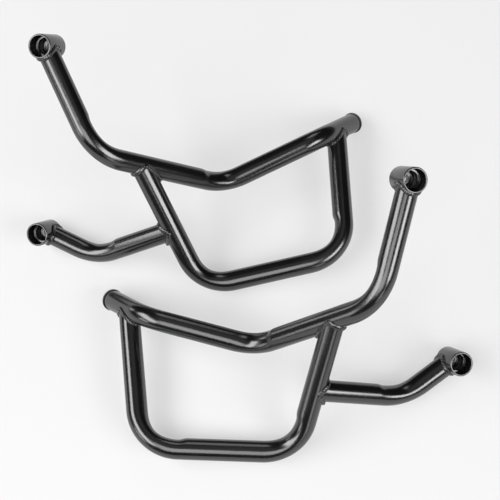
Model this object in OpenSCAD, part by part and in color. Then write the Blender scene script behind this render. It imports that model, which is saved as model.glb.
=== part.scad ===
// Pair of motorcycle crash bars, left and right, lying side by side as they come to rest.
// Each bar is a bent main tube with a loop and a stay of the same tube welded to it,
// a welded boss at both mounting points and a plastic plug in its open front end.
// Every tube follows a path: the points at which its straight runs would meet.
// A run has a length, a heading round the vertical axis and a rise above the floor.

/* [Tube] */
// Outside diameter of every tube
tube_d = 25.4; // [23:0.1:28]
// Wall thickness of every tube
tube_wall = 2; // [1.5:0.1:2.6]
// Bend radius of the main tube and the stay, at the centre of the tube
main_bend_r = 67; // [55:1:75]
// Bend radius at the front of the main tube
front_bend_r = 56; // [50:1:58]
// Bend radius of the loop's corners
loop_bend_r = 51; // [45:1:60]
// Depth to which the inside of each bend is pressed in
press_depth = 3; // [1:0.1:4]
// Radius of the pressed side, seen in the tube's section
press_r = 14.5; // [13:0.1:18]
// Length of the ramp at each end of a pressed bend
press_ramp = 9; // [5:0.5:12]

/* [Main tube] */
// Length of the front run, from the plugged end to the first bend's corner
front_run = 84.6; // [80:0.1:100]
// Heading of the front run, in degrees
front_heading = -42.4; // [-50:0.1:-35]
// Rise of the front run, in degrees
front_rise = 38; // [30:0.1:45]
// Length of the run down to the knee
knee_run = 135.1; // [120:0.1:150]
// Heading of the run down to the knee
knee_heading = -14.3; // [-20:0.1:-8]
// Rise of the run down to the knee
knee_rise = -7.9; // [-14:0.1:-4]
// Length of the run that climbs from the knee
climb_run = 185.8; // [180:0.1:210]
// Heading of the run that climbs from the knee
climb_heading = 0.3; // [-5:0.1:6]
// Rise of the run that climbs from the knee
climb_rise = 39.8; // [34:0.1:46]
// Length of the rear run, up to the middle line of the upper boss
upper_run = 139.3; // [125:0.1:170]
// Heading of the rear run
upper_heading = 72.6; // [66:0.1:80]
// Rise of the rear run
upper_rise = 26.2; // [20:0.1:32]

/* [Loop] */
// Distance from the plugged end to the loop's front leg
loop_front_at = 43.1; // [38:0.1:46]
// Length of the front leg, down to its corner
loop_front_run = 172; // [150:0.1:200]
// Heading of the front leg
loop_front_heading = -83.9; // [-90:0.1:-78]
// Rise of the front leg
loop_front_rise = -4.2; // [-8:0.1:2]
// Distance from the knee to the loop's rear leg
loop_rear_at = 123.7; // [110:0.1:128]
// Length of the rear leg, down to its corner
loop_rear_run = 174.3; // [165:0.1:200]
// Heading of the rear leg
loop_rear_heading = -111.8; // [-118:0.1:-106]
// Rise of the rear leg
loop_rear_rise = -41.6; // [-46:0.1:-36]

/* [Stay] */
// Distance from the loop's rear corner to the stay
stay_at = 83.2; // [76:0.1:92]
// Length of the run that leaves the loop
stay_run = 117.9; // [100:0.1:140]
// Heading of the run that leaves the loop
stay_heading = 4.5; // [-2:0.1:10]
// Rise of the run that leaves the loop
stay_rise = -27.3; // [-33:0.1:-22]
// Length of the run to the middle line of the lower boss
lower_run = 72.5; // [62:0.1:90]
// Heading of the run to the lower boss
lower_heading = 34.7; // [28:0.1:40]
// Rise of the run to the lower boss
lower_rise = 6.6; // [2:0.1:12]

/* [Bosses] */
// Outside diameter of both bosses
boss_d = 29; // [28:0.1:34]
// Length of both bosses
boss_len = 40; // [38:0.5:46]
// Height of the upper boss's mouth above its tube's middle line
upper_mouth = 15.5; // [14:0.5:22]
// Height of the lower boss's mouth above its tube's middle line
lower_mouth = 27; // [20:0.5:28]
// Heading of the axis that both bosses share
boss_heading = -56.2; // [-62:0.1:-50]
// Rise of that axis
boss_rise = 53.7; // [48:0.1:60]
// Diameter of the recess behind the mouth
recess_d = 24.6; // [22:0.1:25.4]
// Depth of the recess
recess_depth = 16; // [10:0.5:18]
// Diameter of the socket for the bolt's head
socket_d = 18.6; // [16:0.1:20]
// Depth of the socket below the recess
socket_depth = 14; // [8:0.5:15]
// Diameter of the bolt hole
bolt_hole_d = 10.5; // [8:0.1:12.5]
// Size of the edge breaks on the bosses
boss_edge = 0.8; // [0.3:0.1:1.2]

/* [Plug] */
// Diameter of the plug's flange
flange_d = 27.2; // [26:0.1:30]
// Thickness of the flange at its rim
flange_t = 3; // [2:0.1:4]
// Size of the break on the flange's outer edge
flange_edge = 0.8; // [0.3:0.1:1.2]
// Height of the flange's dome
dome_h = 1.5; // [0.5:0.1:3]
// Length of the stem inside the tube
stem_len = 16; // [10:0.5:22]
// Diameter of the stem between its ribs
stem_d = 17; // [14:0.1:18]
// Distance from one rib to the next
rib_pitch = 4; // [3:0.1:6]
// Thickness of a rib
rib_t = 1.2; // [0.8:0.1:1.6]
// Gap all round between the ribs and the tube
rib_gap = 0.1; // [0.05:0.05:0.3]

/* [Welds] */
// Width of a weld bead on the tube or boss that it stands on
bead_w = 2.9; // [2.6:0.1:4]
// Height of a weld bead along the tube that it holds
bead_h = 2.5; // [1.5:0.1:2.5]
// Gap left between a bead and the tube that it stands on
bead_gap = 0.1; // [0.05:0.05:0.3]

/* [Layout] */
// Where the left bar's plugged end lies, across the pair
left_x = -162.4; // [-400:1:400]
// Where the left bar's plugged end lies, along the pair
left_y = -24.6; // [-400:1:400]
// Where the right bar's plugged end lies, across the pair
right_x = 143.3; // [-400:1:400]
// Where the right bar's plugged end lies, along the pair
right_y = 219.9; // [-400:1:400]
// Turn of the right bar against the left one
right_turn = 8.3; // [0:0.1:20]

/* [Hidden] */
$fn = 144;

tube_r = tube_d / 2;
bore_r = tube_r - tube_wall;
boss_r = boss_d / 2;
flange_r = flange_d / 2;
// Length of tube that a joint is set out on, well past its bead
joint_len = 4 * tube_d;
// Length by which a cut runs past the face that it opens
overrun = tube_wall;
// Length by which the thin ears at a seated end of a tube are cut back
ear = tube_wall;
// Length by which the parts of one tube reach into each other at a bend
lap = tube_wall / 4;
// Step between the parts of one tube, so small that it doesn't show
skin = tube_wall / 40;

function toward(heading, rise) = [cos(rise) * cos(heading), cos(rise) * sin(heading), sin(rise)];
function along(length, heading, rise) = length * toward(heading, rise);
function unit(v) = v / norm(v);

// The main tube: front end, front corner, knee, rear corner, upper boss
front_end = [0, 0, 0];
front_corner = front_end + along(front_run, front_heading, front_rise);
knee = front_corner + along(knee_run, knee_heading, knee_rise);
rear_corner = knee + along(climb_run, climb_heading, climb_rise);
upper_end = rear_corner + along(upper_run, upper_heading, upper_rise);
main_path = [front_end, front_corner, knee, rear_corner, upper_end];
main_bends = [0, front_bend_r, main_bend_r, main_bend_r, 0];

// The loop: from the main tube's front run to its climbing run
loop_start = front_end + loop_front_at * unit(front_corner - front_end);
loop_front = loop_start + along(loop_front_run, loop_front_heading, loop_front_rise);
loop_end = knee + loop_rear_at * unit(rear_corner - knee);
loop_rear = loop_end + along(loop_rear_run, loop_rear_heading, loop_rear_rise);
loop_path = [loop_start, loop_front, loop_rear, loop_end];
loop_bends = [0, loop_bend_r, loop_bend_r, 0];

// The stay: from the loop's rear leg to the lower boss
stay_start = loop_rear + stay_at * unit(loop_end - loop_rear);
stay_corner = stay_start + along(stay_run, stay_heading, stay_rise);
lower_end = stay_corner + along(lower_run, lower_heading, lower_rise);
stay_path = [stay_start, stay_corner, lower_end];
stay_bends = [0, main_bend_r, 0];

// Both bosses point the same way, because their bolts do
boss_axis = toward(boss_heading, boss_rise);

// Directions, angles and setbacks along a path
function direction(path, i) = unit(path[i + 1] - path[i]);
function straightness(path, i) = direction(path, i - 1) * direction(path, i);
function bend_angle(path, i) = acos(straightness(path, i));
function is_corner(path, i) = i > 0 && i < len(path) - 1;
function setback(path, bends, i) = is_corner(path, i) ? bends[i] * tan(bend_angle(path, i) / 2) : 0;
// From where a bend starts, and from where it ends, towards its centre
function inward(path, i) =
    unit(direction(path, i) - straightness(path, i) * direction(path, i - 1));
function inward_after(path, i) =
    unit(straightness(path, i) * direction(path, i) - direction(path, i - 1));
function bend_start(path, bends, i) = path[i] - setback(path, bends, i) * direction(path, i - 1);
function bend_end(path, bends, i) = path[i] + setback(path, bends, i) * direction(path, i);
function bend_centre(path, bends, i) = bend_start(path, bends, i) + bends[i] * inward(path, i);
function beside(v) = unit(cross(v, [0, 0, 1]));

// The lowest point of a bend, and of a disc that faces along an axis
function low_angle(path, i) =
    max(0, min(bend_angle(path, i), atan2(-direction(path, i - 1).z, inward(path, i).z)));
function bend_low(path, bends, i) =
    let (
        a = low_angle(path, i),
        before = direction(path, i - 1),
        inner = inward(path, i),
        outward_z = sin(a) * before.z - cos(a) * inner.z,
        side_z = cross(before, inner).z
    )
    bend_centre(path, bends, i).z + bends[i] * outward_z
    - (tube_r - skin) * norm([outward_z, side_z]);
function disc_low(centre, axis, r) = centre.z - r * sqrt(1 - axis.z * axis.z);
function rim_low(centre, axis, r, edge) =
    min(disc_low(centre, axis, r - edge), disc_low(centre + edge * axis, axis, r));

// The bar is set down on the lowest of its feet
front_axis = direction(main_path, 0);
feet = concat(
    [rim_low(front_end - flange_t * front_axis, front_axis, flange_r, flange_edge)],
    [rim_low(lower_end + (lower_mouth - boss_len) * boss_axis, boss_axis, boss_r, boss_edge)],
    [for (i = [1:len(main_path) - 2]) bend_low(main_path, main_bends, i)],
    [for (i = [1:len(loop_path) - 2]) bend_low(loop_path, loop_bends, i)],
    [for (i = [1:len(stay_path) - 2]) bend_low(stay_path, stay_bends, i)]
);
lift = -min(feet);

// Puts its children's origin at a point, their Z along one direction and their X along another
module at(origin, z, x) {
    y = cross(z, x);
    multmatrix([
        [x.x, y.x, z.x, origin.x],
        [x.y, y.y, z.y, origin.y],
        [x.z, y.z, z.z, origin.z],
        [0, 0, 0, 1],
    ]) children();
}

// Straight runs of a path, each narrowed to a neck where it meets a bend. The first starts
// and the last ends as far past the path's two ends as ends says.
module runs(path, bends, r, ends) {
    last = len(path) - 2;
    neck_r = r - press_depth - skin;
    for (i = [0:last]) {
        z0 = setback(path, bends, i);
        z1 = norm(path[i + 1] - path[i]) - setback(path, bends, i + 1);
        start = i == 0 ? [[0, -ends[0]], [r, -ends[0]]]
            : [[0, z0 - lap], [neck_r, z0 - lap], [r, z0 + press_ramp]];
        end = i == last ? [[r, z1 + ends[1]], [0, z1 + ends[1]]]
            : [[r, z1 - press_ramp], [neck_r, z1 + lap], [0, z1 + lap]];
        at(path[i], direction(path, i), beside(direction(path, i)))
            rotate_extrude() polygon(concat(start, end));
    }
}

// Section of a pressed bend: round outside, and flatter on the side of the bend's centre
module pressed(r, inset) {
    intersection() {
        circle(r - inset);
        translate([press_depth + press_r - tube_r, 0]) circle(press_r - tube_r + r - inset);
    }
}

// One bend of a path, and the stretch of it that reaches into the runs on both sides
module bend(path, bends, i, r) {
    before = direction(path, i - 1);
    after = direction(path, i);
    inner = inward(path, i);
    at(bend_centre(path, bends, i), cross(before, inner), -inner)
        rotate_extrude(angle = bend_angle(path, i)) translate([bends[i], 0]) pressed(r, skin);
    at(bend_start(path, bends, i), -before, -inner)
        translate([0, 0, -lap]) linear_extrude(lap + press_ramp) pressed(r, 2 * skin);
    at(bend_end(path, bends, i), after, -inward_after(path, i))
        translate([0, 0, -lap]) linear_extrude(lap + press_ramp) pressed(r, 2 * skin);
}

// Full form of a bent tube, or of the space inside it
module tube_form(path, bends, r, ends) {
    runs(path, bends, r, ends);
    for (i = [1:len(path) - 2]) bend(path, bends, i, r);
}

module bent_tube(path, bends, ends) {
    difference() {
        tube_form(path, bends, tube_r, ends);
        tube_form(path, bends, bore_r, [overrun, overrun]);
    }
}

// Plain cylinder round a joint, from a point or to both sides of it. The line at which its
// surface closes is turned away from where the two tubes of the joint touch.
module joint_cylinder(origin, axis, other_axis, r, length, both_sides) {
    side = unit(cross(other_axis, axis));
    at(origin, axis, unit(side + cross(axis, side))) cylinder(r = r, h = length, center = both_sides);
}

// Outer form of a boss, with no edge breaks, as its tube is cut to meet it
module boss_form(centre) {
    at(centre, boss_axis, beside(boss_axis)) cylinder(r = boss_r, h = 2 * boss_len, center = true);
}

module main_tube() {
    color("#1d1d1f") difference() {
        bent_tube(main_path, main_bends, [0, 0]);
        boss_form(upper_end);
    }
}

module loop_tube() {
    color("#1d1d1f") difference() {
        bent_tube(loop_path, loop_bends, [-ear, -ear]);
        tube_form(main_path, main_bends, tube_r, [0, 0]);
    }
}

module stay_tube() {
    color("#1d1d1f") difference() {
        bent_tube(stay_path, stay_bends, [-ear, 0]);
        joint_cylinder(stay_start, direction(loop_path, 2), direction(stay_path, 0),
            tube_r, joint_len, true);
        boss_form(lower_end);
    }
}

// Boss with its mouth at the top of Z: recess, socket for the bolt's head and bolt hole
module boss(centre, mouth) {
    low = mouth - boss_len;
    shoulder = mouth - recess_depth;
    floor_z = shoulder - socket_depth;
    color("#222224") at(centre, boss_axis, beside(boss_axis))
        difference() {
            rotate_extrude() polygon([
                [0, low],
                [boss_r - boss_edge, low],
                [boss_r, low + boss_edge],
                [boss_r, mouth - boss_edge],
                [boss_r - boss_edge, mouth],
                [0, mouth],
            ]);
            translate([0, 0, shoulder]) cylinder(d = recess_d, h = recess_depth + overrun);
            translate([0, 0, floor_z]) cylinder(d = socket_d, h = socket_depth + overrun);
            translate([0, 0, shoulder - boss_edge])
                cylinder(r1 = socket_d / 2, r2 = socket_d / 2 + boss_edge + skin, h = boss_edge + skin);
            translate([0, 0, low - overrun])
                cylinder(d = bolt_hole_d, h = floor_z - low + 2 * overrun);
        }
}

module upper_boss() {
    boss(upper_end, upper_mouth);
}

module lower_boss() {
    boss(lower_end, lower_mouth);
}

// Plug for the open front end: domed flange outside, ribbed stem inside
module end_plug() {
    rib_r = bore_r - rib_gap;
    stem_r = stem_d / 2;
    dome_base_r = flange_r - 2 * flange_edge;
    // Sphere of which the dome is the cap
    dome_r = (dome_base_r * dome_base_r + dome_h * dome_h) / (2 * dome_h);
    color("#151516") at(front_end, front_axis, beside(front_axis)) {
        rotate_extrude() polygon([
            [0, -flange_t],
            [flange_r - flange_edge, -flange_t],
            [flange_r, flange_edge - flange_t],
            [flange_r, 0],
            [stem_r, 0],
            [stem_r, stem_len],
            [0, stem_len],
        ]);
        intersection() {
            translate([0, 0, dome_r - dome_h - flange_t]) sphere(dome_r);
            translate([0, 0, -dome_h - flange_t]) cylinder(r = dome_base_r, h = dome_h + flange_t / 2);
        }
        for (z = [rib_pitch:rib_pitch:stem_len - rib_t])
            translate([0, 0, z]) cylinder(r = rib_r, h = rib_t);
    }
}

// Bead round the joint of a branch on a header, before both are cut away from it
module bead_form(header_centre, header_axis, header_r, header_len, branch_start, branch_axis) {
    intersection() {
        joint_cylinder(header_centre, header_axis, branch_axis, header_r + bead_h, header_len, true);
        joint_cylinder(branch_start, branch_axis, header_axis, tube_r + bead_w, joint_len / 2, false);
    }
}

module boss_bead(centre, mouth, branch_axis) {
    color("#1d1d1f") difference() {
        bead_form(centre + (mouth - boss_len / 2) * boss_axis, boss_axis, boss_r,
            boss_len - 2 * boss_edge, centre, branch_axis);
        boss_form(centre);
        joint_cylinder(centre, branch_axis, boss_axis, tube_r, joint_len, false);
    }
}

module tube_bead(start, header_axis, branch_axis) {
    color("#1d1d1f") difference() {
        bead_form(start, header_axis, tube_r, joint_len, start, branch_axis);
        joint_cylinder(start, header_axis, branch_axis, tube_r + bead_gap, 2 * joint_len, true);
        joint_cylinder(start, branch_axis, header_axis, tube_r, joint_len, false);
    }
}

module upper_boss_weld() {
    boss_bead(upper_end, upper_mouth, -direction(main_path, 3));
}

module lower_boss_weld() {
    boss_bead(lower_end, lower_mouth, -direction(stay_path, 1));
}

// This bead reaches round the start of the main tube's front bend
module loop_front_weld() {
    difference() {
        tube_bead(loop_start, front_axis, direction(loop_path, 0));
        bend(main_path, main_bends, 1, tube_r);
    }
}

module loop_rear_weld() {
    tube_bead(loop_end, direction(main_path, 2), -direction(loop_path, 2));
}

module stay_weld() {
    tube_bead(stay_start, direction(loop_path, 2), direction(stay_path, 0));
}

module left_bar() {
    translate([left_x, left_y, lift]) children();
}

// The right bar is the left one's mirror image
module right_bar() {
    translate([right_x, right_y, lift]) rotate(right_turn) mirror([1, 0, 0]) children();
}

left_bar() main_tube();  // left_main_tube
left_bar() loop_tube();  // left_loop_tube
left_bar() stay_tube();  // left_stay_tube
left_bar() upper_boss();  // left_upper_boss
left_bar() lower_boss();  // left_lower_boss
left_bar() end_plug();  // left_end_plug
left_bar() upper_boss_weld();  // left_upper_boss_weld
left_bar() lower_boss_weld();  // left_lower_boss_weld
left_bar() loop_front_weld();  // left_loop_front_weld
left_bar() loop_rear_weld();  // left_loop_rear_weld
left_bar() stay_weld();  // left_stay_weld
right_bar() main_tube();  // right_main_tube
right_bar() loop_tube();  // right_loop_tube
right_bar() stay_tube();  // right_stay_tube
right_bar() upper_boss();  // right_upper_boss
right_bar() lower_boss();  // right_lower_boss
right_bar() end_plug();  // right_end_plug
right_bar() upper_boss_weld();  // right_upper_boss_weld
right_bar() lower_boss_weld();  // right_lower_boss_weld
right_bar() loop_front_weld();  // right_loop_front_weld
right_bar() loop_rear_weld();  // right_loop_rear_weld
right_bar() stay_weld();  // right_stay_weld
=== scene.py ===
"""Looks of the pair of crash bars: pressed bends, rippled welds, bored bosses and ribbed plugs."""
import math

import bpy
import numpy as np
from mathutils import Matrix, Vector


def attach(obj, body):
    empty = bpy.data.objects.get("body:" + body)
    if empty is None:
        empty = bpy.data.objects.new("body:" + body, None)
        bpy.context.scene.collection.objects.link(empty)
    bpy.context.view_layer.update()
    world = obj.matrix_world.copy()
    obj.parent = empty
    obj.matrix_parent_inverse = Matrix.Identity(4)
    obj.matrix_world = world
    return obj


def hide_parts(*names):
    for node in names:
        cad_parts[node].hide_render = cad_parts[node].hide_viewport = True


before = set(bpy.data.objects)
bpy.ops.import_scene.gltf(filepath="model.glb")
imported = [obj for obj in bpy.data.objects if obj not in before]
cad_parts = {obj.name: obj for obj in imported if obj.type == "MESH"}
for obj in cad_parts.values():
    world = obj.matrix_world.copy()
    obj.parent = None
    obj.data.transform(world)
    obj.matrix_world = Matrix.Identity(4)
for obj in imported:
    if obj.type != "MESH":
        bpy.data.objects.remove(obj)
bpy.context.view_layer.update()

MM = 0.001

# Sizes in millimetres, as in the part's source
TUBE_R, WALL = 12.7, 2.0
BOSS_R, BOSS_LEN = 14.5, 40.0
UPPER_MOUTH, LOWER_MOUTH = 15.5, 27.0
RECESS_R, RECESS_DEPTH = 12.3, 16.0
SOCKET_R, SOCKET_DEPTH = 9.3, 14.0
HOLE_R = 5.25
FLANGE_R, FLANGE_T, DOME_H = 13.6, 3.0, 1.5
STEM_R, RIB_R, STEM_LEN = 8.5, 10.6, 16.0

# Where the bars lie: how high they are lifted, and the place and turn of each
LIFT = 12.1154
LEFT_AT = (-162.4, -24.6)
RIGHT_AT, RIGHT_TURN = (143.3, 219.9), 8.3

# The looks' own sizes in millimetres: the ramp at both ends of a press and how far it draws the
# tube in all round, the beads' two widths, and how far tube ends sink into their headers
RAMP, SHRINK = 11.0, 0.05
BEAD_W, BEAD_H = 3.4, 3.0
SINK = 0.3

# How finely the pieces are meshed
TUBE_AROUND, BOSS_AROUND, PLUG_AROUND = 72, 96, 240
BEAD_AROUND, BEAD_ACROSS = 540, 11
RAMP_RINGS, RING_GAP, BEND_RING_DEGREES = 12, 6, 1.8


def toward(heading, rise):
    """Unit vector at a heading and a rise in degrees."""
    h, r = math.radians(heading), math.radians(rise)
    return np.array([math.cos(r) * math.cos(h), math.cos(r) * math.sin(h), math.sin(r)])


def unit(v):
    return v / np.linalg.norm(v)


def square_to(v, axis):
    """The part of v that is square to a unit axis."""
    return v - (v @ axis) * axis


# Centre lines of one bar from its plugged end, as lengths, headings and rises of their runs
MAIN = [np.zeros(3)]
for run in ((84.6, -42.4, 38.0), (135.1, -14.3, -7.9), (185.8, 0.3, 39.8), (139.3, 72.6, 26.2)):
    MAIN.append(MAIN[-1] + run[0] * toward(run[1], run[2]))
FRONT_AXIS, REAR_AXIS = unit(MAIN[1] - MAIN[0]), unit(MAIN[3] - MAIN[2])
loop_front, loop_rear = 43.1 * FRONT_AXIS, MAIN[2] + 123.7 * REAR_AXIS
LOOP = [
    loop_front,
    loop_front + 172.0 * toward(-83.9, -4.2),
    loop_rear + 174.3 * toward(-111.8, -41.6),
    loop_rear,
]
LEG_AXIS = unit(LOOP[3] - LOOP[2])
STAY = [LOOP[2] + 83.2 * LEG_AXIS]
STAY.append(STAY[0] + 117.9 * toward(4.5, -27.3))
STAY.append(STAY[1] + 72.5 * toward(34.7, 6.6))
BOSS_AXIS = toward(-56.2, 53.7)

# Each bend's radius, how deep its inner side is pressed in, and where the press leaves a step
MAIN_BENDS = [(48.0, 0.6, "none"), (60.0, 2.6, "after"), (64.0, 3.4, "after")]
LOOP_BENDS = {
    "left": [(51.0, 3.4, "after"), (50.0, 2.6, "after")],
    "right": [(51.0, 3.4, "before"), (50.0, 2.6, "none")],
}
STAY_BENDS = [(67.0, 2.6, "before")]

# What the coped ends sit on: a point on the header's centre line, its direction and its radius
ON_MAIN_FRONT = (LOOP[0], FRONT_AXIS, TUBE_R)
ON_MAIN_REAR = (LOOP[3], REAR_AXIS, TUBE_R)
ON_LOOP = (STAY[0], LEG_AXIS, TUBE_R)
ON_UPPER_BOSS = (MAIN[4], BOSS_AXIS, BOSS_R)
ON_LOWER_BOSS = (STAY[2], BOSS_AXIS, BOSS_R)


def smooth(x):
    x = min(max(x, 0.0), 1.0)
    return x * x * (3 - 2 * x)


def closing(share, stepped):
    """How far the press has closed at a share of the bend from one end."""
    if stepped:
        return 0.62 + 0.38 * smooth(share / 0.5)
    return smooth(share / 0.55)


class Bend:
    """A pressed bend at one point of a centre line."""

    def __init__(self, before, at, after, radius, depth, step):
        self.u, w = unit(at - before), unit(after - at)
        self.radius, self.depth, self.step = radius, depth, step
        self.angle = math.acos(float(self.u @ w))
        self.setback = radius * math.tan(self.angle / 2)
        self.inner = unit(square_to(w, self.u))
        self.centre = at - self.setback * self.u + radius * self.inner

    def side(self, turned):
        """Direction of the inner side after part of the angle."""
        return math.cos(turned) * self.inner - math.sin(turned) * self.u

    def press(self, share):
        """Depth of the press at a share of the bend, full in its middle."""
        before = closing(share, self.step == "before")
        return self.depth * (before * closing(1 - share, self.step == "after"))

    def rings(self):
        steps = max(8, int(math.degrees(self.angle) / BEND_RING_DEGREES))
        for k in range(1, steps):
            turned = self.angle * k / steps
            side = self.side(turned)
            tangent = math.cos(turned) * self.u + math.sin(turned) * self.inner
            yield self.centre - self.radius * side, tangent, self.press(k / steps), side


def rings_of(path, bends):
    """Rings along a path: centre, tangent, and how far and on which side each is pressed in."""
    inside = [Bend(*path[i : i + 3], *bend) for i, bend in enumerate(bends)]
    corners = [None, *inside, None]
    rings = []
    for a, b, first, last in zip(path, path[1:], corners, corners[1:]):
        u = unit(b - a)
        start = first.setback if first else 0.0
        end = np.linalg.norm(b - a) - (last.setback if last else 0.0)
        low = start + (RAMP if first else 0.0)
        high = end - (RAMP if last else 0.0)
        places = {start, end}
        if first:
            places |= {start + RAMP * k / RAMP_RINGS for k in range(1, RAMP_RINGS + 1)}
        if last:
            places |= {end - RAMP * k / RAMP_RINGS for k in range(1, RAMP_RINGS + 1)}
        count = max(2, int((high - low) / RING_GAP))
        places |= {low + (high - low) * k / count for k in range(count + 1)}
        for p in sorted(places):
            press, side = 0.0, np.zeros(3)
            if first and p < start + RAMP:
                press = first.press(1) * (1 - smooth((p - start) / RAMP))
                side = first.side(first.angle)
            elif last and p > end - RAMP:
                press = last.press(0) * smooth((p - end + RAMP) / RAMP)
                side = last.inner
            rings.append((a + p * u, u, press, side))
        if last:
            rings.extend(last.rings())
    return rings


def pressed_radius(d, press, side):
    """Distance of the tube's surface from its centre line in direction d."""
    # The outer half stays round, and the inner half is an ellipse that flattens as it is pressed
    x = float(d @ side)
    r = TUBE_R - SHRINK * min(press, 1.0)
    if press <= 0 or x <= 0:
        return r
    return 1.0 / math.sqrt((x / (r - press)) ** 2 + (1 - x * x) / (r * r))


def circle(e1, e2, around):
    """Unit vectors round a circle."""
    for j in range(around):
        f = 2 * math.pi * j / around
        yield math.cos(f) * e1 + math.sin(f) * e2


def seat_distance(q, axis, seat, soft=0.0):
    """How far along axis the line from q meets a header. Soft rounds off a grazing contact."""
    point, header_axis, header_r = seat
    q = square_to(q - point, header_axis)
    v = square_to(axis, header_axis)
    a, b, c = float(v @ v), float(q @ v), float(q @ q) - header_r**2
    return (-b + math.sqrt(max(b * b - a * c, 0.0) + soft)) / a


def quads(rows, around, closed=False):
    """Faces between rows of points, with the last row joined to the first if closed."""
    faces = []
    for i in range(rows if closed else rows - 1):
        this, after = i * around, (i + 1) % rows * around
        for j in range(around):
            k = (j + 1) % around
            faces.append((this + j, this + k, after + k, after + j))
    return faces


OUT, IN, UP, DOWN = (1, 0), (-1, 0), (0, 1), (0, -1)


def eased(corner, arriving, leaving, size, ease):
    """Three points that round off a profile's corner."""
    (r, z), (ar, az), (lr, lz) = corner, arriving, leaving
    return [
        (r + size * ar, z + size * az),
        (r + ease * (ar + lr), z + ease * (az + lz)),
        (r + size * lr, z + size * lz),
    ]


def arc(r0, z0, radius, a0, a1, steps=5):
    """Points of a rounded corner of a profile: centre r0, z0, from angle a0 to a1."""
    angles = [math.radians(a0 + (a1 - a0) * k / steps) for k in range(steps + 1)]
    return [(r0 + radius * math.cos(a), z0 + radius * math.sin(a)) for a in angles]


def seated(rows, end, seat):
    """Coped ring that ends a tube on a header, and the rows that the header doesn't reach."""
    centre, t, e1, e2, _ = rows[end]
    axis = t if end == 0 else -t
    ring, reach = [], 0.0
    for d in circle(e1, e2, TUBE_AROUND):
        q = centre + TUBE_R * d
        s = max(seat_distance(q, axis, seat) - SINK, 0.0)
        reach = max(reach, s)
        ring.append(q + s * axis)
    return ring, [row for row in rows if float((row[0] - centre) @ axis) > reach + 1.0]


def tube(path, bends, end_seat, start_seat=None):
    """A tube that ends on a seat, and starts on another one or in an open mouth."""
    rings = rings_of(path, bends)
    prev = rings[0][1]
    e1 = unit(np.cross(prev, [0.0, 0.0, 1.0]))
    rows = []
    for centre, t, press, side in rings:
        axis = np.cross(prev, t)
        n = np.linalg.norm(axis)
        if n > 1e-9:
            e1 = np.array(Matrix.Rotation(math.asin(min(n, 1.0)), 3, Vector(axis / n))) @ e1
        e1 = unit(square_to(e1, t))
        e2 = np.cross(t, e1)
        ring = [centre + d * pressed_radius(d, press, side) for d in circle(e1, e2, TUBE_AROUND)]
        rows.append((centre, t, e1, e2, ring))
        prev = t

    verts = []
    if start_seat:
        verts, rows = seated(rows, 0, start_seat)
    else:
        # Rounded mouth of the wall and a short stretch of the bore, in place of the first ring
        bore = TUBE_R - WALL
        lip = [(bore, 22.0)] + eased((bore, 0.0), UP, OUT, 0.5, 0.15)
        lip += eased((TUBE_R, 0.0), IN, UP, 0.5, 0.15)
        centre, t, e1, e2, _ = rows[0]
        for r, z in lip:
            verts += [centre + r * d + z * t for d in circle(e1, e2, TUBE_AROUND)]
        rows = rows[1:]
    last_ring, rows = seated(rows, -1, end_seat)
    for row in rows:
        verts += row[4]
    verts += last_ring

    # Discs close the two ends
    count = len(verts) // TUBE_AROUND
    faces = quads(count, TUBE_AROUND)
    faces.append(tuple(range(TUBE_AROUND - 1, -1, -1)))
    faces.append(tuple(range((count - 1) * TUBE_AROUND, count * TUBE_AROUND)))
    return verts, faces


def lathe(profile, centre, axis, around, closed=False, flute=None):
    """A turned shape. Its flutes have a first and a last row, a count and a depth."""
    e1 = unit(np.cross(axis, [0.0, 0.0, 1.0]))
    e2 = np.cross(axis, e1)
    verts = []
    for k, (r, z) in enumerate(profile):
        for j, d in enumerate(circle(e1, e2, around)):
            cut = 0.0
            if flute and flute[0] <= k <= flute[1]:
                f = 2 * math.pi * j / around
                cut = flute[3] * (0.5 + 0.5 * math.cos(flute[2] * f)) ** 3
            verts.append(centre + (r - cut) * d + z * axis)
    return verts, quads(len(profile), around, closed)


def boss(centre, mouth):
    """A turned boss: rounded rims, recess, chamfered shoulder, socket and bolt hole."""
    low, shoulder = mouth - BOSS_LEN, mouth - RECESS_DEPTH
    floor = shoulder - SOCKET_DEPTH
    rim, lip = 1.2, 0.6
    p = eased((HOLE_R, low), UP, OUT, 0.5, 0.15)
    p += arc(BOSS_R - rim, low + rim, rim, -90, 0)
    p += arc(BOSS_R - rim, mouth - rim, rim, 0, 90)
    p += arc(RECESS_R + lip, mouth - lip, lip, 90, 180)
    p += eased((RECESS_R, shoulder), UP, IN, 0.4, 0.12)
    # The shoulder's chamfer, 1 mm wide and soft at both its edges
    for r, z in ((1.0, 0.0), (0.75, 0.08), (0.08, 0.75), (0.0, 1.0)):
        p.append((SOCKET_R + r, shoulder - z))
    p += eased((SOCKET_R, floor), UP, IN, 0.5, 0.15)
    p += eased((HOLE_R, floor), OUT, DOWN, 0.6, 0.15)
    return lathe(p, centre, BOSS_AXIS, BOSS_AROUND, closed=True)


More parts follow.
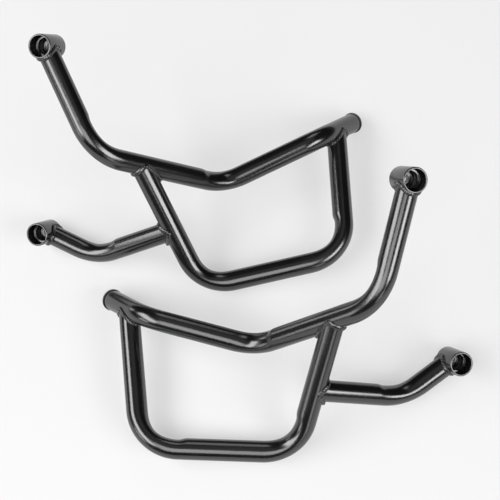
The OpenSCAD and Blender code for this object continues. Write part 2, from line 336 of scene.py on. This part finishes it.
def plug():
    """A moulded plug: domed and lightly fluted flange, and a stem with ribs inside the tube."""
    rim, tip_r = 1.2, 0.02
    base = FLANGE_R - 1.4
    dome = (base * base + DOME_H * DOME_H) / (2 * DOME_H)
    p = []
    for k in range(9):
        r = base * k / 8
        p.append((max(r, tip_r), -FLANGE_T - DOME_H + dome - math.sqrt(dome * dome - r * r)))
    p += arc(FLANGE_R - rim, rim - FLANGE_T, rim, -90, 0)
    # 48 flutes, 0.32 mm deep, from the end of the rounded rim almost to the flange's back
    flute = (len(p) - 3, len(p) + 1, 48, 0.32)
    p += [(FLANGE_R, -1.2), (FLANGE_R, -0.4), (FLANGE_R - 0.12, -0.12), (FLANGE_R - 0.4, -0.02)]
    p += [(11.6, -0.02), (STEM_R, 0.0)]
    for z in (4.0, 8.0, 12.0):
        p += [(STEM_R, z), (RIB_R, z + 0.1), (RIB_R, z + 1.1), (STEM_R, z + 1.2)]
    p += [(STEM_R, STEM_LEN), (tip_r, STEM_LEN)]
    return lathe(p, MAIN[0], FRONT_AXIS, PLUG_AROUND, flute=flute)


def wander(rng, low, high, count, along, total):
    """Random values along a closed line, the last the same as the first."""
    values = rng.uniform(low, high, count)
    return np.interp(along, np.linspace(0, total, count + 1), np.append(values, values[0]))


def facing(v, direction):
    """Unit vector along v, turned round if it points away from direction."""
    return unit(v) if v @ direction > 0 else -unit(v)


def weld(seat, branch_to, seed):
    """A bead round a joint: overlapping crescents along the line where the two tubes meet."""
    start, header_axis, _ = seat
    branch_axis = unit(branch_to - start)
    e1 = unit(np.cross(branch_axis, header_axis))
    e2 = np.cross(branch_axis, e1)
    pts, outs = [], []
    for d in circle(e1, e2, BEAD_AROUND):
        q = start + TUBE_R * d
        pts.append(q + seat_distance(q, branch_axis, seat, soft=4.0) * branch_axis)
        outs.append(unit(d))
    pts = np.array(pts)
    step = np.linalg.norm(np.roll(pts, -1, 0) - pts, axis=1)
    along = np.concatenate([[0.0], np.cumsum(step)[:-1]])
    total = float(step.sum())

    # A ripple about every 3 mm, uneven in pace and in size
    ripples = max(12, round(total / 3.0))
    rng = np.random.RandomState(seed)
    phase = wander(rng, -0.25, 0.25, 24, along, total)
    swell = wander(rng, -0.10, 0.12, 16, along, total)
    verts = []
    for k in range(BEAD_AROUND):
        p, off_branch = pts[k], outs[k]
        t = unit(pts[(k + 1) % BEAD_AROUND] - pts[k - 1])
        off_header = unit(square_to(p - start, header_axis))
        on_header = facing(np.cross(off_header, t), off_branch)
        on_branch = facing(np.cross(off_branch, t), branch_axis)
        out = unit(off_header + off_branch)
        w, h = BEAD_W * (1 + swell[k]), BEAD_H * (1 + swell[k])
        for j in range(BEAD_ACROSS):
            u = j / (BEAD_ACROSS - 1)
            # Crescents lag behind at their two toes, rise steeply and fall away slowly
            lag = 0.55 * (2 * u - 1) ** 2
            x = along[k] / total * ripples + phase[k] - lag
            x = x - math.floor(x)
            ridge = (1 - x) ** 0.7 * min(1.0, x / 0.12)
            wide = 1 + 0.05 * ridge
            height = 4 * u * (1 - u) * (0.85 + 0.85 * ridge)
            point = p + on_header * w * (1 - u) * wide + on_branch * h * u * wide + out * height
            # The toes sink into the two tubes
            if j == 0:
                point = point - off_header * 0.35
            elif j == BEAD_ACROSS - 1:
                point = point - off_branch * 0.35
            verts.append(point)
    faces = []
    for k in range(BEAD_AROUND):
        this, after = k * BEAD_ACROSS, (k + 1) % BEAD_AROUND * BEAD_ACROSS
        for j in range(BEAD_ACROSS - 1):
            faces.append((this + j, this + j + 1, after + j + 1, after + j))
    return verts, faces


def pieces_of(side):
    """Vertices and faces of each piece of one bar, in millimetres from its plugged end."""
    return {
        "main_tube": tube(MAIN, MAIN_BENDS, ON_UPPER_BOSS),
        "loop_tube": tube(LOOP, LOOP_BENDS[side], ON_MAIN_REAR, ON_MAIN_FRONT),
        "stay_tube": tube(STAY, STAY_BENDS, ON_LOWER_BOSS, ON_LOOP),
        "upper_boss": boss(MAIN[4], UPPER_MOUTH),
        "lower_boss": boss(STAY[2], LOWER_MOUTH),
        "end_plug": plug(),
        "upper_boss_weld": weld(ON_UPPER_BOSS, MAIN[3], 1),
        "lower_boss_weld": weld(ON_LOWER_BOSS, STAY[1], 2),
        "loop_front_weld": weld(ON_MAIN_FRONT, LOOP[1], 3),
        "loop_rear_weld": weld(ON_MAIN_REAR, LOOP[2], 4),
        "stay_weld": weld(ON_LOOP, STAY[1], 5),
    }


def placed(p, side):
    """Points of a bar where it lies. The right bar is the left one's mirror image, turned."""
    if side == "left":
        return p + np.array([*LEFT_AT, LIFT])
    c, s = math.cos(math.radians(RIGHT_TURN)), math.sin(math.radians(RIGHT_TURN))
    x, y = -p[:, 0], p[:, 1]
    return np.stack(
        [c * x - s * y + RIGHT_AT[0], s * x + c * y + RIGHT_AT[1], p[:, 2] + LIFT], 1
    )


def new_object(name, verts, faces):
    """A smooth mesh object that keeps its edges of more than 32 degrees."""
    mesh = bpy.data.meshes.new(name)
    mesh.from_pydata([tuple(v) for v in verts], [], faces)
    mesh.validate()
    for p in mesh.polygons:
        p.use_smooth = True
    mesh.set_sharp_from_angle(angle=math.radians(32))
    mesh.update()
    obj = bpy.data.objects.new(name, mesh)
    bpy.context.scene.collection.objects.link(obj)
    return obj


def new_material(name):
    """A material of one shader, with its node tree and that shader."""
    m = bpy.data.materials.new(name)
    m.use_nodes = True
    t = m.node_tree
    t.nodes.clear()
    out = t.nodes.new("ShaderNodeOutputMaterial")
    p = t.nodes.new("ShaderNodeBsdfPrincipled")
    t.links.new(p.outputs["BSDF"], out.inputs["Surface"])
    return m, t, p


def set_inputs(node, **values):
    """Sets a node's inputs by name, with an underscore for each space."""
    for key, value in values.items():
        node.inputs[key.replace("_", " ")].default_value = value


def noise(t, scale, detail):
    """Noise in the object's own metres."""
    n = t.nodes.new("ShaderNodeTexNoise")
    set_inputs(n, Scale=scale, Detail=detail, Roughness=0.5)
    t.links.new(t.nodes.new("ShaderNodeTexCoord").outputs["Object"], n.inputs["Vector"])
    return n.outputs["Fac"]


def base_colour(t, p, fac, low, high):
    """Base colour between two colours as a noise goes from 0.3 to 0.7."""
    r = t.nodes.new("ShaderNodeValToRGB")
    for element, position, colour in zip(r.color_ramp.elements, (0.3, 0.7), (low, high)):
        element.position, element.color = position, (*colour, 1)
    t.links.new(fac, r.inputs["Fac"])
    t.links.new(r.outputs["Color"], p.inputs["Base Color"])


def roughness(t, p, fac, low, high):
    """Roughness between two values as a noise goes from 0.3 to 0.7."""
    m = t.nodes.new("ShaderNodeMapRange")
    set_inputs(m, From_Min=0.3, From_Max=0.7, To_Min=low, To_Max=high)
    t.links.new(fac, m.inputs["Value"])
    t.links.new(m.outputs["Result"], p.inputs["Roughness"])


def bump(t, p, heights):
    """Chains bumps of (height, strength, distance in metres) into the shader's normal."""
    last = None
    for height, strength, distance in heights:
        b = t.nodes.new("ShaderNodeBump")
        set_inputs(b, Strength=strength, Distance=distance)
        t.links.new(height, b.inputs["Height"])
        if last:
            t.links.new(last, b.inputs["Normal"])
        last = b.outputs["Normal"]
    t.links.new(last, p.inputs["Normal"])


def powder_coat(name, rough_low, rough_high, peel):
    """Semi-gloss black powder coat: even black, slow changes of gloss and a fine orange peel."""
    m, t, p = new_material(name)
    slow, fine, wide = noise(t, 22.0, 3.0), noise(t, 900.0, 2.0), noise(t, 260.0, 2.0)
    base_colour(t, p, slow, (0.0018, 0.0018, 0.0020), (0.0030, 0.0030, 0.0032))
    roughness(t, p, slow, rough_low, rough_high)
    set_inputs(p, IOR=1.8)
    bump(t, p, [(wide, 0.07 * peel, 0.0006), (fine, 0.04 * peel, 0.0002)])
    return m


def moulded(name):
    """Matte black plastic with a fine spark-eroded grain."""
    m, t, p = new_material(name)
    slow, fine = noise(t, 60.0, 2.0), noise(t, 2400.0, 2.0)
    base_colour(t, p, slow, (0.018, 0.018, 0.019), (0.024, 0.024, 0.025))
    roughness(t, p, slow, 0.27, 0.34)
    bump(t, p, [(fine, 0.2, 0.0001)])
    return m


coat = powder_coat("black_powder_coat", 0.19, 0.23, 1.0)
weld_coat = powder_coat("black_powder_coat_on_welds", 0.19, 0.26, 1.4)
plastic = moulded("black_plug_plastic")

for side in ("left", "right"):
    for name, (verts, faces) in pieces_of(side).items():
        # The mirror image's faces are turned round, so that they still face outwards
        if side == "right":
            faces = [tuple(reversed(f)) for f in faces]
        node = f"{side}_{name}"
        obj = new_object(f"{node}_finish", placed(np.array(verts), side) * MM, faces)
        metal = weld_coat if name.endswith("weld") else coat
        obj.data.materials.append(plastic if name == "end_plug" else metal)
        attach(obj, "root")
        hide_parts(node)


def mixed(t, fac, first, second, out):
    """Goes from a first shader to a second one by fac, into the named output node."""
    mix = t.nodes.new("ShaderNodeMixShader")
    t.links.new(fac, mix.inputs["Fac"])
    t.links.new(first, mix.inputs[1])
    t.links.new(second, mix.inputs[2])
    t.links.new(mix.outputs["Shader"], t.nodes[out].inputs["Surface"])


# Floor: one pale sheet. Camera and mirror rays see it near white with a light shadow
HALF, FLOOR_Z = 6.0, -0.0004
floor_mat, t, lit = new_material("pale_floor")
seen = t.nodes.new("ShaderNodeBsdfPrincipled")
for shader, grey in ((lit, 0.72), (seen, 0.36)):
    set_inputs(shader, Base_Color=(grey, grey, grey, 1), Roughness=0.9, Specular_IOR_Level=0.1)
set_inputs(seen, Emission_Color=(1, 1, 1, 1), Emission_Strength=0.46)
ray = t.nodes.new("ShaderNodeLightPath")
any_ray = ray.outputs["Is Camera Ray"]
for kind in ("Is Glossy Ray", "Is Transmission Ray"):
    either = t.nodes.new("ShaderNodeMath")
    either.operation = "MAXIMUM"
    t.links.new(any_ray, either.inputs[0])
    t.links.new(ray.outputs[kind], either.inputs[1])
    any_ray = either.outputs[0]
mixed(t, any_ray, lit.outputs["BSDF"], seen.outputs["BSDF"], "Material Output")
corners = [(x * HALF, y * HALF, FLOOR_Z) for x, y in ((-1, -1), (1, -1), (1, 1), (-1, 1))]
floor = new_object("floor", corners, [(0, 1, 2, 3)])
floor.data.materials.append(floor_mat)

# Soft boxes, all equally far from the floor's middle and aimed at the bars. Each has its tilt
# from straight up and its heading in degrees, its sides along and across the tilt in metres,
# and its radiance. The low ones show in the steep legs of the two loops
LAMP_AWAY, AIM = 4.0, Vector((0, 0, 0.08))
SOFTBOXES = {
    "left_box": (46, 196, 1.75, 4.60, 6.6),
    "right_box": (56, -36, 1.35, 2.50, 8.6),
    "front_fill": (38, -97, 2.40, 2.10, 3.6),
    "back_strip": (46, 83, 1.85, 1.10, 1.5),
    "top_glow": (8, 20, 2.80, 2.80, 0.22),
    "low_left": (76, -150, 1.00, 1.60, 3.0),
    "low_right": (78, -68, 1.00, 1.30, 2.2),
    "low_back": (81, 151, 0.80, 1.00, 3.0),
}
for name, (tilt, heading, width, height, radiance) in SOFTBOXES.items():
    light = bpy.data.lights.new(name, "AREA")
    light.shape = "RECTANGLE"
    light.size, light.size_y = width, height
    light.energy = radiance * math.pi * width * height
    obj = bpy.data.objects.new(name, light)
    a, h = math.radians(tilt), math.radians(heading)
    at = Vector((math.sin(a) * math.cos(h), math.sin(a) * math.sin(h), math.cos(a))) * LAMP_AWAY
    obj.location = at
    # Turned so that its first side runs towards straight up
    z = (at - AIM).normalized()
    y = z.cross(Vector((0, 0, 1))).normalized()
    obj.rotation_mode = "QUATERNION"
    obj.rotation_quaternion = Matrix((y.cross(z), y, z)).transposed().to_quaternion()
    obj.visible_camera = False
    bpy.context.scene.collection.objects.link(obj)

# The rest of the studio is dark, so that the black coat keeps its depth. The camera sees a pale
# backdrop
world = bpy.data.worlds.new("studio")
bpy.context.scene.world = world
world.use_nodes = True
t = world.node_tree
dark, backdrop = t.nodes["Background"], t.nodes.new("ShaderNodeBackground")
set_inputs(dark, Color=(1, 1, 1, 1), Strength=0.03)
set_inputs(backdrop, Color=(0.9, 0.9, 0.9, 1), Strength=1.0)
camera_ray = t.nodes.new("ShaderNodeLightPath").outputs["Is Camera Ray"]
mixed(
    t, camera_ray, dark.outputs["Background"], backdrop.outputs["Background"], "World Output"
)

# Camera at the photograph's viewing angle: its focal length in the photograph's pixels, its
# place in millimetres, and its three axes
SENSOR, FOCAL_PIXELS, PHOTO_WIDTH = 36.0, 1224.17, 500
CAMERA_AT = Vector((98.63, -618.615, 1405.55))
CAMERA_RIGHT = Vector((0.997926, 0.0, -0.06437))
CAMERA_UP = Vector((0.027434, 0.904633, 0.425307))
CAMERA_BACK = Vector((0.058232, -0.426191, 0.902757))
cam_data = bpy.data.cameras.new("camera")
cam_data.sensor_width = SENSOR
cam_data.lens = FOCAL_PIXELS * SENSOR / PHOTO_WIDTH
cam_data.clip_start, cam_data.clip_end = 0.05, 30
camera = bpy.data.objects.new("camera", cam_data)
turn = Matrix((CAMERA_RIGHT, CAMERA_UP, CAMERA_BACK)).transposed().to_4x4()
camera.matrix_world = Matrix.Translation(CAMERA_AT * MM) @ turn
bpy.context.scene.collection.objects.link(camera)
bpy.context.scene.camera = camera

bpy.context.scene.view_settings.view_transform = "Standard"
